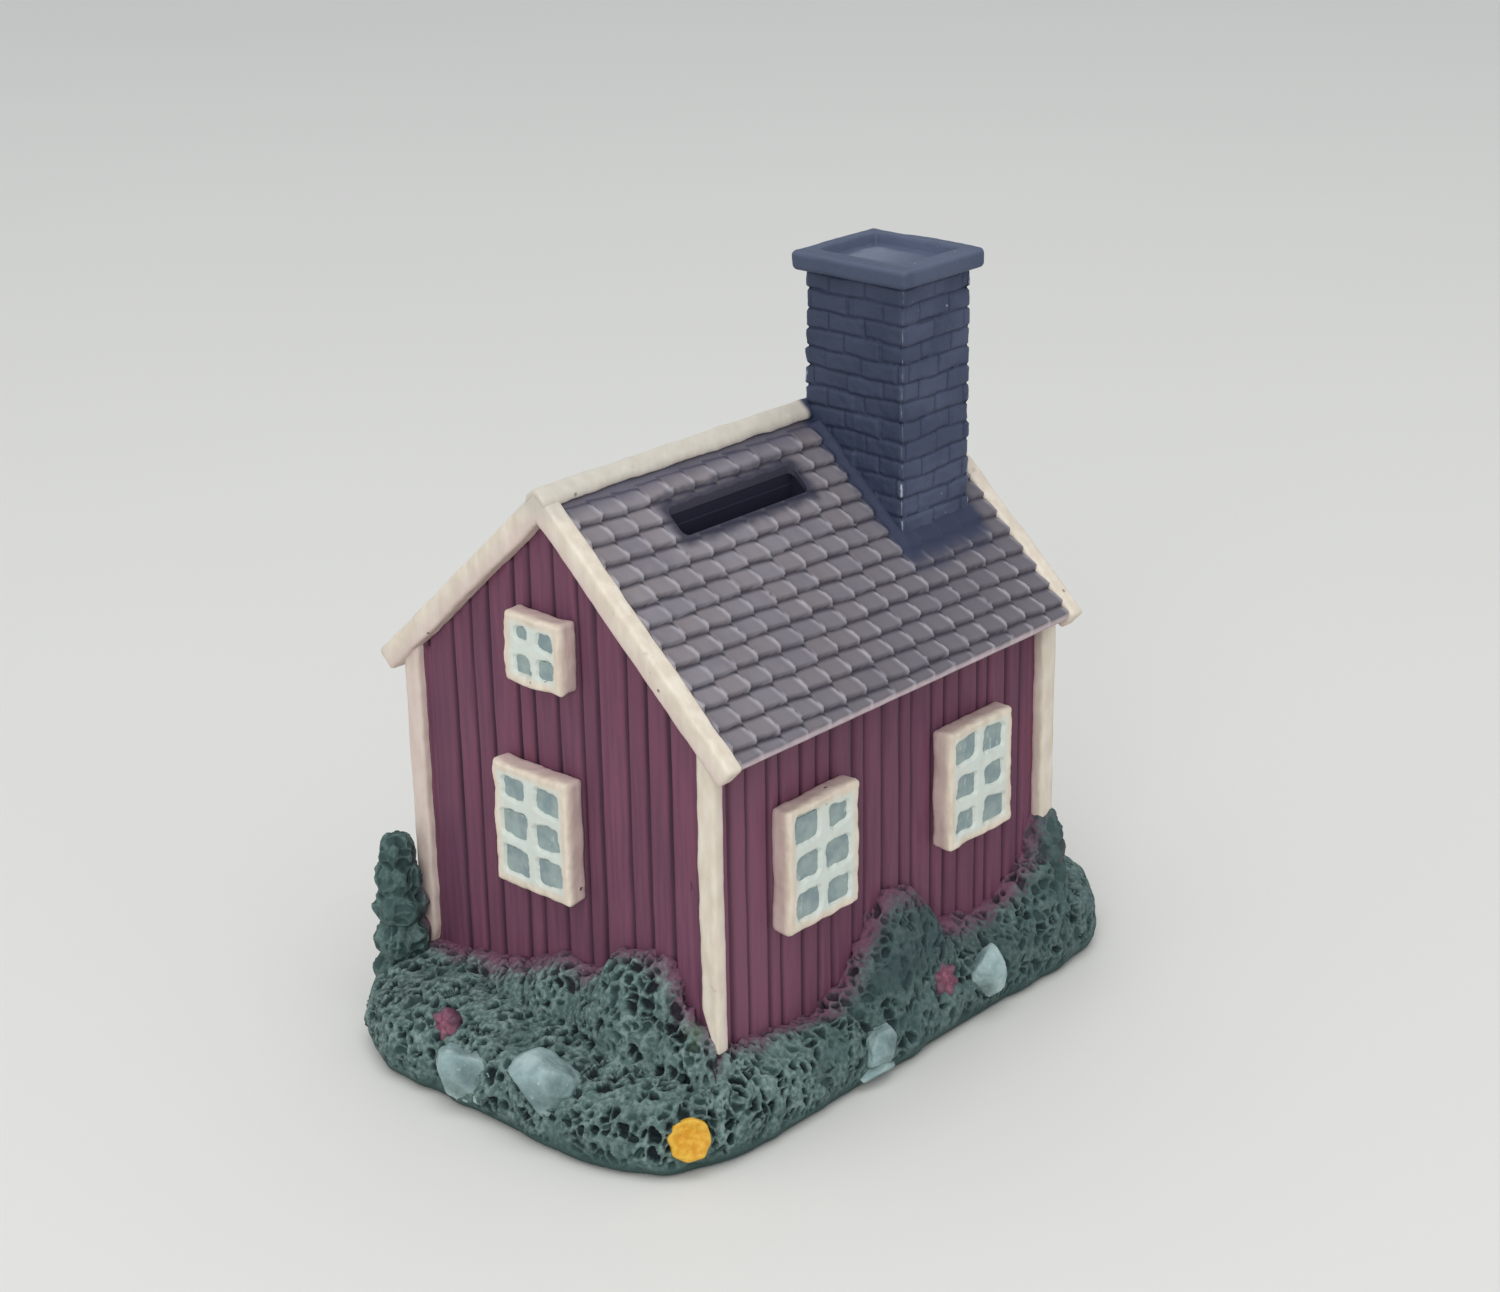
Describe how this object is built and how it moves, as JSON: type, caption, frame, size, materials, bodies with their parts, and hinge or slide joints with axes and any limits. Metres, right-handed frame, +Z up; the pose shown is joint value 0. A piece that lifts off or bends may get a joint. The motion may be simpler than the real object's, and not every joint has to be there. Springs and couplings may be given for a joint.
{
  "type": "cottage money box",
  "caption": "Hollow cottage-shaped money box with a coin slot in its tiled roof, a brick chimney, boxed-out windows, a planted bank and a pull-out stopper underneath.",
  "frame": {"origin": "middle of the overall box, on the table plane that the underside rests on", "axes": "+Z up; X along the ridge, +X towards the chimney end; -Y is the front long side, whose roof slope has the coin slot"},
  "size_m": [0.1474, 0.0977, 0.147],
  "materials": {
    "siding_paint": "matt hand-painted resin",
    "trim_paint": "thick satin brush paint on resin",
    "pane_paint": "painted resin with a little gloss",
    "roof_paint": "matt painted resin, ridges dry-brushed paler",
    "brick_paint": "matt painted resin",
    "greenery_paint": "matt painted resin with open pores",
    "stone_paint": "matt painted resin",
    "yellow_paint": "thick brush paint on resin",
    "magenta_paint": "thick brush paint on resin",
    "door_paint": "matt painted resin",
    "stopper_rubber": "soft dull rubber"
  },
  "bodies": {
    "house": {"barge_board_front_left": "trim_paint", "barge_board_front_right": "trim_paint", "barge_board_rear_left": "trim_paint", "barge_board_rear_right": "trim_paint", "base_plate": "greenery_paint", "bush_cone_left": "greenery_paint", "bush_corner_right": "greenery_paint", "bush_front": "greenery_paint", "bush_gable_left": "greenery_paint", "bush_gable_middle": "greenery_paint", "bush_gable_right": "greenery_paint", "bush_rear_left": "greenery_paint", "bush_rear_right": "greenery_paint", "chimney_cap": "brick_paint", "chimney_stack": "brick_paint", "corner_post_front_left": "trim_paint", "corner_post_front_right": "trim_paint", "corner_post_rear_left": "trim_paint", "corner_post_rear_right": "trim_paint", "door_frame": "trim_paint", "door_leaf": "door_paint", "flower_front": "magenta_paint", "flower_gable": "magenta_paint", "flower_yellow": "yellow_paint", "gable_wall_left": "siding_paint", "gable_wall_right": "siding_paint", "garden_bank": "greenery_paint", "ridge_cap": "trim_paint", "roof_deck_front": "roof_paint", "roof_deck_rear": "roof_paint", "roof_tiles_front": "roof_paint", "roof_tiles_rear": "roof_paint", "stone_front_left": "stone_paint", "stone_front_right": "stone_paint", "stone_gable_far": "stone_paint", "stone_gable_large": "stone_paint", "stone_gable_small": "stone_paint", "stone_rear": "stone_paint", "wall_front": "siding_paint", "wall_rear": "siding_paint", "window_frame_attic_left": "trim_paint", "window_frame_attic_right": "trim_paint", "window_frame_front_left": "trim_paint", "window_frame_front_right": "trim_paint", "window_frame_gable_left": "trim_paint", "window_frame_gable_right": "trim_paint", "window_frame_rear_left": "trim_paint", "window_frame_rear_right": "trim_paint", "window_panes_attic_left": "pane_paint", "window_panes_attic_right": "pane_paint", "window_panes_front_left": "pane_paint", "window_panes_front_right": "pane_paint", "window_panes_gable_left": "pane_paint", "window_panes_gable_right": "pane_paint", "window_panes_rear_left": "pane_paint", "window_panes_rear_right": "pane_paint"},
    "stopper": {"stopper": "stopper_rubber"}
  },
  "joints": [
    {"name": "stopper_pull", "type": "slide", "parent": "house", "child": "stopper", "axis": [0, 0, -1], "range_m": [0, 0.02]}
  ]
}
